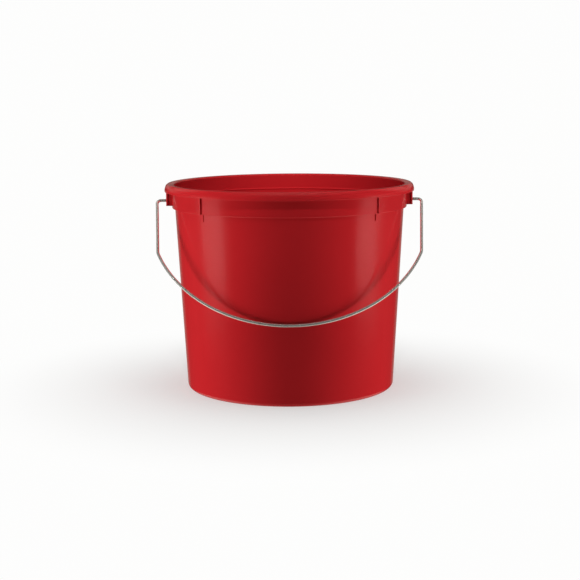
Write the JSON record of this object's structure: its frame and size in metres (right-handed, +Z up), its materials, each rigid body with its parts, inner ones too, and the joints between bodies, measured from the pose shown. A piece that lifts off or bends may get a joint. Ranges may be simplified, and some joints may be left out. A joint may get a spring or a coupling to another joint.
{
  "type": "sand bucket",
  "caption": "Round tapered plastic pail with a rolled lip, a raised collar and side ears, carrying a bent wire bail that swings over the rim.",
  "frame": {"origin": "middle of the pail's foot, on the surface it stands on", "axes": "+Z up, +X along the line through the two ears and the wire's pivots, -Y towards the front, where the handle rests against the wall"},
  "size_m": [0.2386, 0.222, 0.1833],
  "materials": {
    "red_plastic": "glossy moulded plastic, red, opaque",
    "bright_wire": "bright drawn steel wire with a thin zinc coat"
  },
  "bodies": {
    "pail": {"pail": "red_plastic"},
    "handle": {"wire_handle": "bright_wire"}
  },
  "joints": [
    {"name": "handle_swing", "type": "hinge", "parent": "pail", "child": "handle", "pos_m": [0, 0, 0.1676], "axis": [-1, 0, 0], "range_deg": [0, 268.7]}
  ]
}
